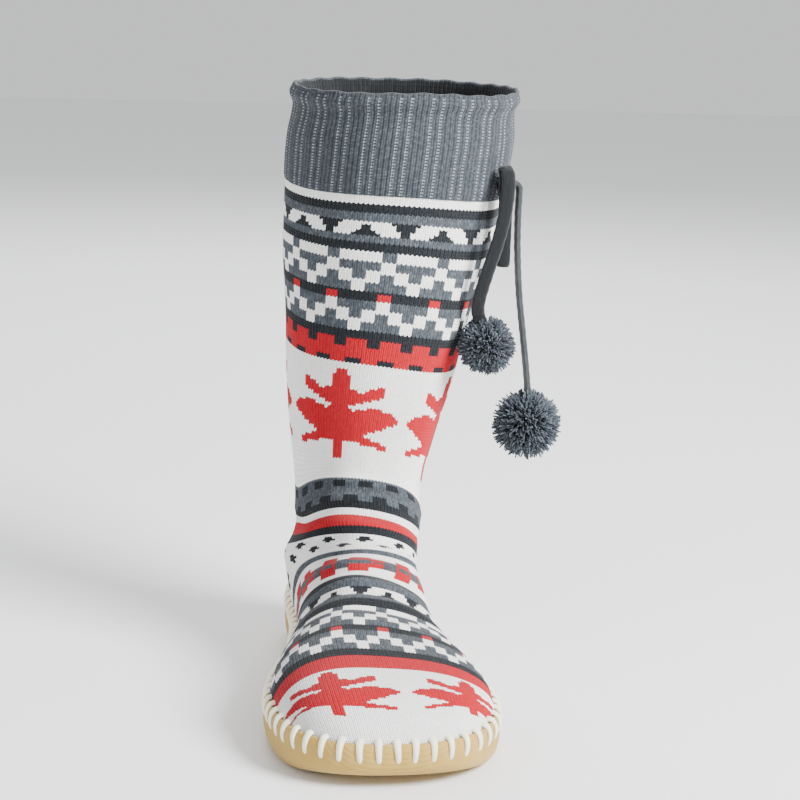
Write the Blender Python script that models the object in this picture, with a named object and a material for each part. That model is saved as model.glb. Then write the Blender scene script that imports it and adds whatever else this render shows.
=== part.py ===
# Knitted boot slipper, left foot, standing empty on its own sole.
# Toe towards -Y, outer side towards +X, origin on the ground under the middle of the heel.
import math
import random
from collections import namedtuple

import bmesh
import bpy
import numpy as np
from mathutils import Vector

MM = 0.001

# Driving dimensions, in millimetres
BOOT_HEIGHT = 300.0
CUFF_HEIGHT = 50.0
CUFF_STEP = 1.0          # the cuff stands this much proud of the shaft
RIB_DEPTH = 0.9
SHAFT_WALL = 2.5
GAP = 0.3                # clearance between touching pieces
SOLE_WALL = 2.0
SOLE_THICKNESS = 4.6
WAIST_LIFT = 2.5
TOE_SPRING = 6.5
INSOLE_THICKNESS = 3.0
COLUMNS = 48             # columns of the upper; two make one rib of the cuff
TIE_WIDTH = 7.0
TIE_THICKNESS = 3.2
POMPOM_SHORT_RADIUS = 15.0
POMPOM_LONG_RADIUS = 18.0

# Each section is a plane across the side view, from the front line to the back line.
# half_in and half_out are its half widths each side of the ridge; end_angle says how far round it
# runs: 180 is a closed loop, 90 an arch with upright ends. steps is the number of rows to the next.
Section = namedtuple(
    "Section", "front_y front_z back_y back_z ridge_x half_in half_out end_angle fullness steps")
SECTIONS = {
    "collar":     Section(-76.0, 298.6, 48.0, 298.6, 19.0, 58.0, 58.0, 180, 2.0, 1),
    "cuff_base":  Section(-75.0, 250.6, 46.5, 250.6, 14.5, 56.0, 56.0, 180, 2.0, 1),
    "shaft_top":  Section(-74.9, 249.4, 46.5, 249.4, 14.4, 56.0, 56.0, 180, 2.0, 1),
    "calf":       Section(-72.5, 215.0, 43.5, 215.0, 11.2, 52.8, 52.8, 180, 2.0, 1),
    "shin":       Section(-68.0, 180.0, 39.0, 180.0, 7.6, 47.8, 47.8, 180, 2.0, 1),
    "leg":        Section(-63.5, 146.0, 33.0, 145.0, 4.2, 42.8, 42.8, 180, 2.0, 1),
    "ankle_top":  Section(-60.5, 121.0, 27.5, 113.0, 1.8, 37.2, 37.2, 180, 2.0, 1),
    "ankle":      Section(-60.8, 107.5, 25.2, 90.0, 0.5, 33.8, 33.8, 180, 2.0, 1),
    "ankle_low":  Section(-62.6, 99.0, 26.4, 70.0, 0.0, 32.6, 32.6, 180, 2.05, 1),
    "heel_bulge": Section(-65.3, 93.5, 30.6, 52.0, 0.0, 32.7, 32.7, 180, 2.1, 1),
    "heel_back":  Section(-69.0, 89.0, 33.5, 33.0, 0.0, 32.8, 32.8, 180, 2.1, 1),
    "heel_a":     Section(-73.0, 85.5, 30.2, 31.2, 0.0, 32.8, 32.8, 152, 2.1, 1),
    "heel_b":     Section(-77.5, 82.3, 20.5, 29.0, -0.3, 32.6, 33.2, 129, 2.1, 1),
    "heel_side":  Section(-84.0, 78.2, 3.0, 26.8, -1.5, 31.5, 34.2, 109, 2.1, 2),
    "arch":       Section(-98.0, 71.5, -45.0, 24.4, -4.5, 29.3, 37.0, 105, 2.05, 2),
    "instep":     Section(-117.0, 63.8, -83.0, 23.4, -9.5, 29.2, 42.0, 98, 1.95, 2),
    "ball":       Section(-143.0, 55.6, -130.0, 22.4, -14.0, 37.5, 57.0, 92, 1.95, 1),
    "toe_root":   Section(-162.0, 50.6, -153.0, 22.0, -14.5, 40.5, 63.5, 90, 2.0, 1),
    "toe_a":      Section(-180.0, 46.2, -170.0, 21.8, -13.5, 0.0, 0.0, 86, 2.1, 1),
    "toe_b":      Section(-195.0, 41.6, -183.0, 21.6, -12.0, 0.0, 0.0, 78, 2.15, 1),
    "toe_c":      Section(-207.0, 35.2, -192.0, 21.4, -10.0, 0.0, 0.0, 69, 2.3, 1),
    "toe_d":      Section(-215.0, 28.6, -197.5, 21.3, -8.0, 0.0, 0.0, 58, 2.4, 1),
    "toe_tip":    Section(-218.6, 21.3, -200.0, 21.3, -6.0, 0.0, 0.0, 48.7, 2.5, 0),
}

# Outline of the toe, ahead of the toe root: half a superellipse with unlike sides
TOE_CENTRE_X = -6.0
TOE_HALF_IN = 49.0
TOE_HALF_OUT = 55.0
TOE_FULLNESS = 2.5

# Side of the sole, from its top edge down: share of the height, and how far it stands out.
Profile = namedtuple("Profile", "share_down out")
SOLE_SIDE = [
    Profile(0.00, 0.0),
    Profile(0.35, 1.0),
    Profile(0.62, 0.9),
    Profile(0.86, -0.9),
    Profile(1.00, -5.0),
]
TUCK_SHARES = (0.25, 0.50)   # how far the upper's lower edge reaches down inside the sole

# Side of the insole, from its underside up: share of its thickness, and distance from the edge.
Pad = namedtuple("Pad", "share_up out")
INSOLE_SIDE = [
    Pad(0.0, -7.6),
    Pad(0.5, -4.6),
    Pad(1.0, -4.2),
]


def clear_scene():
    for item in list(bpy.data.objects):
        bpy.data.objects.remove(item, do_unlink=True)


def make_material(name, colour, roughness, metallic=0.0):
    material = bpy.data.materials.new(name)
    material.use_nodes = True
    shader = material.node_tree.nodes["Principled BSDF"]
    shader.inputs["Base Color"].default_value = (*colour, 1.0)
    shader.inputs["Roughness"].default_value = roughness
    shader.inputs["Metallic"].default_value = metallic
    return material


def add_mesh(name, points, faces, material, smooth=True):
    """Makes one closed mesh object from points in millimetres."""
    mesh = bpy.data.meshes.new(name)
    mesh.from_pydata([tuple(c * MM for c in p) for p in points], [], faces)
    work = bmesh.new()
    work.from_mesh(mesh)
    bmesh.ops.recalc_face_normals(work, faces=work.faces)
    work.to_mesh(mesh)
    work.free()
    mesh.materials.append(material)
    if smooth:
        mesh.shade_smooth()
    piece = bpy.data.objects.new(name, mesh)
    bpy.context.collection.objects.link(piece)
    return piece


# The last: one smooth form read from the sections

def power(value, exponent):
    return math.copysign(abs(value) ** exponent, value)


def toe_row(row):
    """Gives a section ahead of the toe root the half widths that the toe's outline has there."""
    root_y = SECTIONS["toe_root"].back_y
    if row[2] >= root_y:
        return row
    ahead = (root_y - row[2]) / (root_y - SECTIONS["toe_tip"].front_y)
    share = (1.0 - ahead**TOE_FULLNESS) ** (1.0 / TOE_FULLNESS)
    end = power(math.sin(math.radians(row[7])), 2.0 / row[8])
    row[5] = (row[4] - TOE_CENTRE_X + TOE_HALF_IN * share) / end
    row[6] = (TOE_CENTRE_X - row[4] + TOE_HALF_OUT * share) / end
    return row


def row_values():
    """Reads smooth rows between the sections, with a cubic whose knots are spaced by travel."""
    table = np.array([row[:-1] for row in SECTIONS.values()], float)
    middle = (table[:, 0:2] + table[:, 2:4]) / 2
    travel = np.linalg.norm(np.diff(middle, axis=0), axis=1) + 2.0
    knots = np.concatenate([[0.0], np.cumsum(travel)])
    slope = np.diff(table, axis=0) / travel[:, None]
    tangent = np.empty_like(table)
    tangent[0], tangent[-1] = slope[0], slope[-1]
    before, after = travel[:-1, None], travel[1:, None]
    tangent[1:-1] = (slope[:-1] * after + slope[1:] * before) / (before + after)
    rows = []
    for i, section in enumerate(list(SECTIONS.values())[:-1]):
        span = knots[i + 1] - knots[i]
        for step in range(section.steps):
            t = step / section.steps
            rows.append((2 * t**3 - 3 * t**2 + 1) * table[i] + (t**3 - 2 * t**2 + t) * span * tangent[i]
                        + (3 * t**2 - 2 * t**3) * table[i + 1] + (t**3 - t**2) * span * tangent[i + 1])
    rows.append(table[-1])
    return np.array([toe_row(row) for row in rows])


def section_point(row, angle):
    """Point of one section; angle 0 is the front ridge, negative angles are the inner side."""
    front_y, front_z, back_y, back_z, ridge_x, half_in, half_out, end_angle, fullness = row
    exponent = 2.0 / fullness
    end = math.radians(end_angle)
    full_depth = 1.0 - power(math.cos(end), exponent)
    share = (1.0 - power(math.cos(angle), exponent)) / full_depth
    half = half_in if angle < 0 else half_out
    return np.array([ridge_x + half * power(math.sin(angle), exponent),
                     front_y + (back_y - front_y) * share,
                     front_z + (back_z - front_z) * share])


ROWS = row_values()
CLOSED_ROWS = 1 + max(j for j, row in enumerate(ROWS) if row[7] > 179.99)
LAST_ROW = len(ROWS) - 1


def last_grid():
    """Points of the last, row by row, from the inner end round the front to the outer end."""
    grid = np.empty((len(ROWS), COLUMNS + 1, 3))
    for j, row in enumerate(ROWS):
        end = math.radians(row[7])
        for i in range(COLUMNS + 1):
            grid[j, i] = section_point(row, (2.0 * i / COLUMNS - 1.0) * end)
    return grid


def grid_normals(grid):
    along = np.gradient(grid, axis=0)
    across = np.gradient(grid, axis=1)
    closed = slice(0, CLOSED_ROWS)
    wrap = grid[closed, 1] - grid[closed, COLUMNS - 1]
    across[closed, 0] = wrap
    across[closed, COLUMNS] = wrap
    normals = np.cross(along, across)
    normals /= np.linalg.norm(normals, axis=2, keepdims=True)
    return normals


def edge_stations():
    """Grid places round the lower edge: heel, inner side, toe, outer side."""
    heel = CLOSED_ROWS - 1
    stations = [(j, 0) for j in range(heel, LAST_ROW)]
    stations += [(LAST_ROW, i) for i in range(COLUMNS + 1)]
    stations += [(j, COLUMNS) for j in range(LAST_ROW - 1, heel, -1)]
    return stations


def plan_normals(ring):
    """Level outward directions of a closed ring of points, read from its neighbours."""
    tangent = np.roll(ring, -1, axis=0) - np.roll(ring, 1, axis=0)
    normals = np.stack([tangent[:, 1], -tangent[:, 0], np.zeros(len(ring))], axis=1)
    normals /= np.linalg.norm(normals, axis=1, keepdims=True)
    centre = ring.mean(axis=0)
    if np.sum(normals * (ring - centre)) < 0:
        normals = -normals
    return normals


def smooth_step(value, low, high):
    t = min(1.0, max(0.0, (value - low) / (high - low)))
    return t * t * (3.0 - 2.0 * t)


def ground_height(y):
    """Height of the sole's underside: heel and forefoot on the ground, waist and toe lifted."""
    waist = smooth_step(-y, 34.0, 66.0) * (1.0 - smooth_step(-y, 88.0, 120.0))
    toe = smooth_step(-y, 180.0, 226.0)
    return WAIST_LIFT * waist + TOE_SPRING * toe


GRID = last_grid()
NORMALS = grid_normals(GRID)
STATIONS = edge_stations()
EDGE = np.array([GRID[s] for s in STATIONS])
EDGE_OUT = plan_normals(EDGE)


def side_out(share):
    shares = [p.share_down for p in SOLE_SIDE]
    outs = [p.out for p in SOLE_SIDE]
    return float(np.interp(share, shares, outs))


def edge_ring(share, offset, floor_lift):
    """Ring below the lower edge, at a share of the way down to the ground plus floor_lift."""
    ring = EDGE + EDGE_OUT * (side_out(share) + offset)
    for k, point in enumerate(EDGE):
        low = ground_height(point[1]) + floor_lift
        ring[k, 2] = point[2] + (low - point[2]) * share
    return ring


# Upper: cuff, shaft, foot and a lower edge that tucks inside the sole

def cuff_relief(j, i):
    """How far the outer face stands out of the last: the ribbed cuff is a step in the wall."""
    if ROWS[j][1] < BOOT_HEIGHT - CUFF_HEIGHT:
        return 0.0
    return CUFF_STEP + (RIB_DEPTH if i % 2 == 0 else 0.0)


def upper_shell(points, depth):
    """Adds one face of the wall, depth below the last, and returns its grid and tuck indices."""
    index = {}
    for j in range(len(ROWS)):
        for i in range(COLUMNS + 1):
            if j < CLOSED_ROWS and i == COLUMNS:
                index[j, i] = index[j, 0]
                continue
            out = cuff_relief(j, i) - depth
            normal = NORMALS[j, i]
            if (j, i) in STATIONS:
                normal = normal + EDGE_OUT[STATIONS.index((j, i))]
                normal = normal / np.linalg.norm(normal)
            index[j, i] = len(points)
            points.append(GRID[j, i] + normal * out)
    rings = [[index[s] for s in STATIONS]]
    for share in TUCK_SHARES:
        ring = edge_ring(share, -depth, SOLE_THICKNESS)
        rings.append(list(range(len(points), len(points) + len(ring))))
        points.extend(ring)
    return index, rings


def strip(lower, upper, closed=True):
    """Quads between two rings of indices."""
    count = len(lower)
    last = count if closed else count - 1
    return [(lower[k], lower[(k + 1) % count], upper[(k + 1) % count], upper[k])
            for k in range(last)]


def shell_faces(index, rings):
    faces = []
    for j in range(LAST_ROW):
        for i in range(COLUMNS):
            corners = (index[j, i], index[j, i + 1], index[j + 1, i + 1], index[j + 1, i])
            faces.append(tuple(dict.fromkeys(corners)))
    for top, low in zip(rings, rings[1:]):
        faces += strip(top, low)
    return faces


def build_upper():
    points = []
    outer, outer_rings = upper_shell(points, 0.0)
    inner, inner_rings = upper_shell(points, SHAFT_WALL)
    faces = shell_faces(outer, outer_rings) + [f[::-1] for f in shell_faces(inner, inner_rings)]
    top_outer = [outer[0, i] for i in range(COLUMNS)]
    top_inner = [inner[0, i] for i in range(COLUMNS)]
    crown = []
    for a, b in zip(top_outer, top_inner):
        crown.append(len(points))
        middle = (points[a] + points[b]) / 2
        points.append(np.array([middle[0], middle[1], BOOT_HEIGHT]))
    faces += strip(top_outer, crown) + strip(crown, top_inner)
    faces += strip(outer_rings[-1], inner_rings[-1])
    knit = make_material("knit", (0.42, 0.44, 0.47), 0.9)
    return add_mesh("upper", points, faces, knit)


# Sole: one soft cup with rounded sides, and the insole that lies in it

def ladder(ring):
    """Closes a ring with level strips between its inner and outer side."""
    count = len(ring)
    half = count // 2
    faces = [(ring[0], ring[1], ring[-1])]
    faces += [(ring[k], ring[k + 1], ring[count - k - 1], ring[count - k]) for k in range(1, half - 1)]
    faces.append((ring[half - 1], ring[half], ring[half + 1]))
    return faces


def stack_rings(rings):
    """Points, ring indices and side faces of a stack of rings."""
    count = len(rings[0])
    points = [p for ring in rings for p in ring]
    indices = [list(range(n * count, (n + 1) * count)) for n in range(len(rings))]
    faces = []
    for a, b in zip(indices, indices[1:]):
        faces += strip(a, b)
    return points, indices, faces


def build_sole():
    outside = [edge_ring(p.share_down, GAP + SOLE_WALL, 0.0) for p in SOLE_SIDE]
    inside = [edge_ring(p.share_down, GAP, SOLE_THICKNESS) for p in SOLE_SIDE]
    points, indices, faces = stack_rings(inside[::-1] + outside)
    faces += ladder(indices[0]) + ladder(indices[-1])
    suede = make_material("sole", (0.66, 0.55, 0.38), 0.95)
    return add_mesh("sole", points, faces, suede)


def build_insole():
    rings = []
    for share_up, out in INSOLE_SIDE:
        lift = SOLE_THICKNESS + GAP + INSOLE_THICKNESS * share_up
        ring = EDGE + EDGE_OUT * out
        ring[:, 2] = [ground_height(p[1]) + lift for p in EDGE]
        rings.append(ring)
    points, indices, faces = stack_rings(rings)
    faces += ladder(indices[0]) + ladder(indices[-1])
    fleece = make_material("insole", (0.10, 0.11, 0.12), 0.95)
    return add_mesh("insole", points, faces, fleece)


# Ties: a knot with its loop at the lower edge of the cuff, two flat ties and a pompom on each

KNOT_CENTRE = (64.6, -55.7, 254.0)
KNOT_HALF = (5.4, 5.6, 6.4)
KNOT_LOBES = 3           # rounds of tape seen round the knot
KNOT_LOBE_DIP = 0.08
LOOP_LENGTH = 40.0
LOOP_WIDTH = 6.4
LOOP_THICKNESS = 3.0
LOOP_GAP = 1.4
LOOP_SET_BACK = 1.0
LOOP_SET_OUT = 1.0
LOOP_BEND_POINTS = 7
POMPOM_SHORT_CENTRE = (59.5, -51.5, 172.0)
POMPOM_LONG_CENTRE = (81.5, -54.0, 132.0)
POMPOM_CORE = 0.80       # share of the radius where the locks start
LOCK_SHORTEST = 0.93     # share of the radius that the shortest lock reaches
TIE_POINT_STEP = 9.0
SHORT_ROUTE = [
    (64.6, -56.7, 262.9),
    (64.8, -61.5, 261.3),
    (64.9, -64.5, 256.8),
    (64.4, -65.6, 249.0),
    (63.1, -65.8, 239.0),
    (60.4, -64.9, 226.0),
    (56.6, -61.7, 211.0),
    (54.0, -57.6, 198.0),
    (53.7, -54.6, 191.0),
    (54.8, -52.7, 186.7),
]
LONG_ROUTE = [
    (72.2, -55.9, 257.0),
    (72.2, -55.9, 250.0),
    (72.0, -56.0, 240.0),
    (72.5, -56.1, 222.0),
    (74.4, -55.7, 200.0),
    (77.6, -55.0, 178.0),
    (80.2, -54.3, 160.0),
    (81.4, -54.0, 149.9),
]

# Half of a tape's section on each side: share of its half width, and of its half thickness.
TapeCorner = namedtuple("TapeCorner", "flat thick")
TAPE_CORNERS = [
    TapeCorner(-1.0, -0.5),
    TapeCorner(-1.0, 0.5),
    TapeCorner(-0.7, 1.0),
    TapeCorner(0.7, 1.0),
    TapeCorner(1.0, 0.5),
    TapeCorner(1.0, -0.5),
    TapeCorner(0.7, -1.0),
    TapeCorner(-0.7, -1.0),
]


def smooth_route(route, step):
    """Points about a step apart on a smooth curve through the route's own points."""
    route = np.array(route, float)
    padded = np.vstack([2 * route[0] - route[1], route, 2 * route[-1] - route[-2]])
    fine = []
    for a, b, c, d in zip(padded, padded[1:], padded[2:], padded[3:]):
        for t in np.linspace(0.0, 1.0, 20, endpoint=False):
            fine.append(0.5 * (2 * b + (c - a) * t + (2 * a - 5 * b + 4 * c - d) * t**2
                               + (3 * b - a - 3 * c + d) * t**3))
    fine = np.array(fine + [route[-1]])
    travel = np.concatenate([[0.0], np.cumsum(np.linalg.norm(np.diff(fine, axis=0), axis=1))])
    places = np.linspace(0.0, travel[-1], max(3, round(travel[-1] / step) + 1))
    return np.array([[np.interp(p, travel, fine[:, axis]) for axis in range(3)] for p in places])


def build_tie(name, route, turn, material):
    """A flat tie: a curve whose round edges are the bevel and whose flat is the extrusion."""
    curve = bpy.data.curves.new(name, "CURVE")
    curve.dimensions = "3D"
    curve.fill_mode = "FULL"
    curve.twist_mode = "MINIMUM"
    curve.bevel_depth = TIE_THICKNESS / 2 * MM
    curve.extrude = (TIE_WIDTH - TIE_THICKNESS) / 2 * MM
    curve.bevel_resolution = 2
    curve.use_fill_caps = True
    points = smooth_route(route, TIE_POINT_STEP)
    spline = curve.splines.new("POLY")
    spline.points.add(len(points) - 1)
    for place, point in zip(spline.points, points):
        place.co = (*(point * MM), 1.0)
        place.tilt = math.radians(turn)
    curve.materials.append(material)
    tie = bpy.data.objects.new(name, curve)
    bpy.context.collection.objects.link(tie)
    return tie


def build_pompom(name, centre, radius, seed, material):
    """A ball of locks: every face of a small sphere is drawn out into a pointed lock."""
    chance = random.Random(seed)
    work = bmesh.new()
    bmesh.ops.create_icosphere(work, subdivisions=3, radius=radius * POMPOM_CORE * MM)
    locks = bmesh.ops.poke(work, faces=work.faces)["verts"]
    for lock in locks:
        lock.co = lock.co.normalized() * radius * chance.uniform(LOCK_SHORTEST, 1.0) * MM
    bmesh.ops.translate(work, vec=Vector(centre) * MM, verts=work.verts)
    mesh = bpy.data.meshes.new(name)
    work.to_mesh(mesh)
    work.free()
    mesh.materials.append(material)
    pompom = bpy.data.objects.new(name, mesh)
    bpy.context.collection.objects.link(pompom)
    return pompom


def knot_ball(material):
    work = bmesh.new()
    bmesh.ops.create_icosphere(work, subdivisions=3, radius=1.0)
    for vert in work.verts:
        angle = math.atan2(vert.co.z, vert.co.y)
        lobe = 1.0 - KNOT_LOBE_DIP * (1.0 - math.cos(KNOT_LOBES * angle))
        vert.co = Vector([(c + h * v * lobe) * MM for c, h, v in zip(KNOT_CENTRE, KNOT_HALF, vert.co)])
    mesh = bpy.data.meshes.new("tie_knot")
    work.to_mesh(mesh)
    work.free()
    mesh.materials.append(material)
    knot = bpy.data.objects.new("tie_knot", mesh)
    bpy.context.collection.objects.link(knot)
    return knot


def loop_line():
    """Middle line of the loop in (y, z): down one leg, round the bend and up the other."""
    _, y, top = KNOT_CENTRE
    y += LOOP_SET_BACK
    bend = (LOOP_GAP + LOOP_THICKNESS) / 2
    low = top - LOOP_LENGTH + bend
    halfway = (top + low) / 2
    turns = np.linspace(0.0, math.pi, LOOP_BEND_POINTS)
    line = [(y - bend, top), (y - bend, halfway)]
    line += [(y - bend * math.cos(a), low - bend * math.sin(a)) for a in turns]
    line += [(y + bend, halfway), (y + bend, top)]
    return line


def build_loop(material):
    line = loop_line()
    points, rings = [], []
    for k, (y, z) in enumerate(line):
        before, after = line[max(k - 1, 0)], line[min(k + 1, len(line) - 1)]
        along = Vector((after[0] - before[0], after[1] - before[1])).normalized()
        side = Vector((-along.y, along.x)) * LOOP_THICKNESS / 2
        rings.append(list(range(len(points), len(points) + len(TAPE_CORNERS))))
        for corner in TAPE_CORNERS:
            x = KNOT_CENTRE[0] + LOOP_SET_OUT + corner.flat * LOOP_WIDTH / 2
            points.append((x, y + side.x * corner.thick, z + side.y * corner.thick))
    faces = [tuple(rings[0]), tuple(rings[-1][::-1])]
    for a, b in zip(rings, rings[1:]):
        faces += strip(a, b)
    loop = add_mesh("loop_cutter", points, faces, material, smooth=False)
    loop.hide_render = True
    loop.display_type = "WIRE"
    return loop


def build_knot(material):
    """The knot, with its flat loop hanging behind the ties, joined as one solid."""
    knot = knot_ball(material)
    join = knot.modifiers.new("join_loop", "BOOLEAN")
    join.operation = "UNION"
    join.solver = "EXACT"
    join.object = build_loop(material)
    return knot


def main():
    clear_scene()
    build_upper()
    build_sole()
    build_insole()
    yarn = make_material("tie", (0.075, 0.085, 0.105), 0.9)
    build_knot(yarn)
    build_tie("tie_short", SHORT_ROUTE, 90.0, yarn)
    build_tie("tie_long", LONG_ROUTE, 90.0, yarn)
    tuft = make_material("pompom", (0.085, 0.095, 0.12), 0.95)
    build_pompom("pompom_short", POMPOM_SHORT_CENTRE, POMPOM_SHORT_RADIUS, 3, tuft)
    build_pompom("pompom_long", POMPOM_LONG_CENTRE, POMPOM_LONG_RADIUS, 4, tuft)


main()
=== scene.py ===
import math
import bmesh
import bpy
import numpy as np
from mathutils import Matrix, Vector


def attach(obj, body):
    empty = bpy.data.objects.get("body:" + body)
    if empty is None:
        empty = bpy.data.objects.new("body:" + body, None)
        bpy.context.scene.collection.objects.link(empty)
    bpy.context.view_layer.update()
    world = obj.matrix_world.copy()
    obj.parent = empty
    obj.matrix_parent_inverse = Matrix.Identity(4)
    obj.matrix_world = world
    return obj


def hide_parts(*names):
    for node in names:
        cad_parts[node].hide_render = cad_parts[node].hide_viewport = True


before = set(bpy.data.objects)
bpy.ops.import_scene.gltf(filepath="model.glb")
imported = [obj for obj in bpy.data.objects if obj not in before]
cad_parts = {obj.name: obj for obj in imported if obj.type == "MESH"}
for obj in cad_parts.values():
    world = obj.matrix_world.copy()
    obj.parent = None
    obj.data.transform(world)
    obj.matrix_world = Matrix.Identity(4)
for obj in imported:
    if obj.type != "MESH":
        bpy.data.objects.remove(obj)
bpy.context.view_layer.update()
mm = 0.001
body = "root"


# camera and light

cameraSet = {"side": -7.0, "away": 1.146, "height": 0.370, "lens": 99.0, "roll": 2.0,
             "aim": (0.016, -0.052, 0.1435)}


def makeCamera(settings):
    side, away = math.radians(settings["side"]), settings["away"]
    spot = Vector((math.sin(side) * away, -math.cos(side) * away, settings["height"]))
    look = (Vector(settings["aim"]) - spot).to_track_quat("-Z", "Y").to_matrix()
    roll = Matrix.Rotation(math.radians(settings["roll"]), 3, "Z")
    data = bpy.data.cameras.new("camera")
    data.lens = settings["lens"]
    camera = bpy.data.objects.new("camera", data)
    camera.matrix_world = Matrix.Translation(spot) @ (look @ roll).to_4x4()
    bpy.context.scene.collection.objects.link(camera)
    bpy.context.scene.camera = camera


lampSet = {  # place, aim, size, watts
    "keyLamp": ((1.05, -1.0, 1.15), (0.0, -0.06, 0.14), 0.8, 94.0),
    "fillLamp": ((-1.2, -1.1, 0.7), (0.0, -0.06, 0.12), 1.4, 6.0),
    "backLamp": ((0.1, 1.3, 1.3), (0.0, -0.02, 0.2), 1.3, 26.0),
}
skySet = {"colour": (0.96, 0.97, 0.985, 1.0), "strength": 0.85}


def makeLamps(lamps, sky):
    for name, (place, aim, size, watts) in lamps.items():
        data = bpy.data.lights.new(name, "AREA")
        data.shape = "DISK"
        data.size = size
        data.energy = watts
        lamp = bpy.data.objects.new(name, data)
        lamp.location = place
        lamp.rotation_euler = (Vector(aim) - Vector(place)).to_track_quat("-Z", "Y").to_euler()
        bpy.context.scene.collection.objects.link(lamp)
    world = bpy.data.worlds.new("studio")
    world.use_nodes = True
    glow = world.node_tree.nodes["Background"].inputs
    glow["Color"].default_value = sky["colour"]
    glow["Strength"].default_value = sky["strength"]
    bpy.context.scene.world = world


makeCamera(cameraSet)
makeLamps(lampSet, skySet)
print("camera and lamps set")


# nodes, sums on their sockets, and materials

def addNode(tree, kind, settings, values):
    node = tree.nodes.new(kind)
    for key, value in (settings or {}).items():
        setattr(node, key, value)
    for key, value in (values or {}).items():
        if isinstance(value, Wire):
            tree.links.new(value.socket, node.inputs[key])
        else:
            node.inputs[key].default_value = value
    return node.outputs


class Wire:   # a node's socket that takes part in sums
    def __init__(self, tree, socket):
        self.tree = tree
        self.socket = socket

    def maths(self, operation, *values):
        setup, values = {"operation": operation}, dict(enumerate(values))
        return Wire(self.tree, addNode(self.tree, "ShaderNodeMath", setup, values)[0])

    def floor(self):
        return self.maths("FLOOR", self)

    def arch(self):   # 0 at both ends of each unit, 1 in its middle
        part = self.maths("FRACT", self)
        return 4.0 * part * (1.0 - part)


for sign, operation in (("add", "ADD"), ("sub", "SUBTRACT"), ("mul", "MULTIPLY"), ("pow", "POWER"),
                        ("truediv", "DIVIDE")):
    setattr(Wire, f"__{sign}__", lambda left, right, way=operation: left.maths(way, left, right))
    setattr(Wire, f"__r{sign}__", lambda right, left, way=operation: right.maths(way, left, right))


class Finish:   # one material and the nodes behind it
    def __init__(self, name, roughness, sheen=0.0, sheenTint=(1.0, 1.0, 1.0)):
        self.material = bpy.data.materials.new(name)
        self.material.use_nodes = True
        self.tree = self.material.node_tree
        self.shader = self.tree.nodes["Principled BSDF"]
        self.shader.inputs["Roughness"].default_value = roughness
        self.shader.inputs["Sheen Weight"].default_value = sheen
        self.shader.inputs["Sheen Roughness"].default_value = 0.5
        self.shader.inputs["Sheen Tint"].default_value = (*sheenTint, 1.0)
        self.shader.inputs["Specular IOR Level"].default_value = 0.25

    def node(self, kind, settings=None, values=None, out=0):
        return Wire(self.tree, addNode(self.tree, "ShaderNode" + kind, settings, values)[out])

    def attribute(self, name, out="Fac"):
        return self.node("Attribute", {"attribute_name": name}, out=out)

    def flatMap(self):   # how far across and down the piece's own flat map
        parts = self.node("SeparateXYZ", None, {0: self.node("UVMap", {"uv_map": "OFBake"})})
        return parts, Wire(self.tree, parts.socket.node.outputs[1])

    def noise(self, scale, detail=2.0, stretch=None):
        place = self.node("TexCoord", out="Object")
        if stretch:
            place = self.node("VectorMath", {"operation": "MULTIPLY"}, {0: place, 1: stretch})
        return self.node("TexNoise", None, {"Vector": place, "Scale": scale, "Detail": detail})

    def blend(self, factor, first, second):
        ends = [end if isinstance(end, Wire) else (*end, 1.0) for end in (first, second)]
        return self.node("Mix", {"data_type": "RGBA"}, {0: factor, 6: ends[0], 7: ends[1]}, out=2)

    def shade(self, colour, factor):   # a colour made lighter or darker by a number
        return self.node("VectorMath", {"operation": "SCALE"}, {0: colour, "Scale": factor})

    def finish(self, colour, height=None, depth=0.0):
        self.tree.links.new(colour.socket, self.shader.inputs["Base Color"])
        if height:
            values = {"Height": height, "Distance": depth * mm, "Strength": 1.0}
            bump = self.node("Bump", None, values)
            self.tree.links.new(bump.socket, self.shader.inputs["Normal"])
        return self.material


def rgb(*display):   # display values, 0 to 255, as linear light
    shares = [value / 255.0 for value in display]
    return tuple(s / 12.92 if s < 0.0404 else ((s + 0.055) / 1.055) ** 2.4 for s in shares)


# the last, read from sections across the side view

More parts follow.
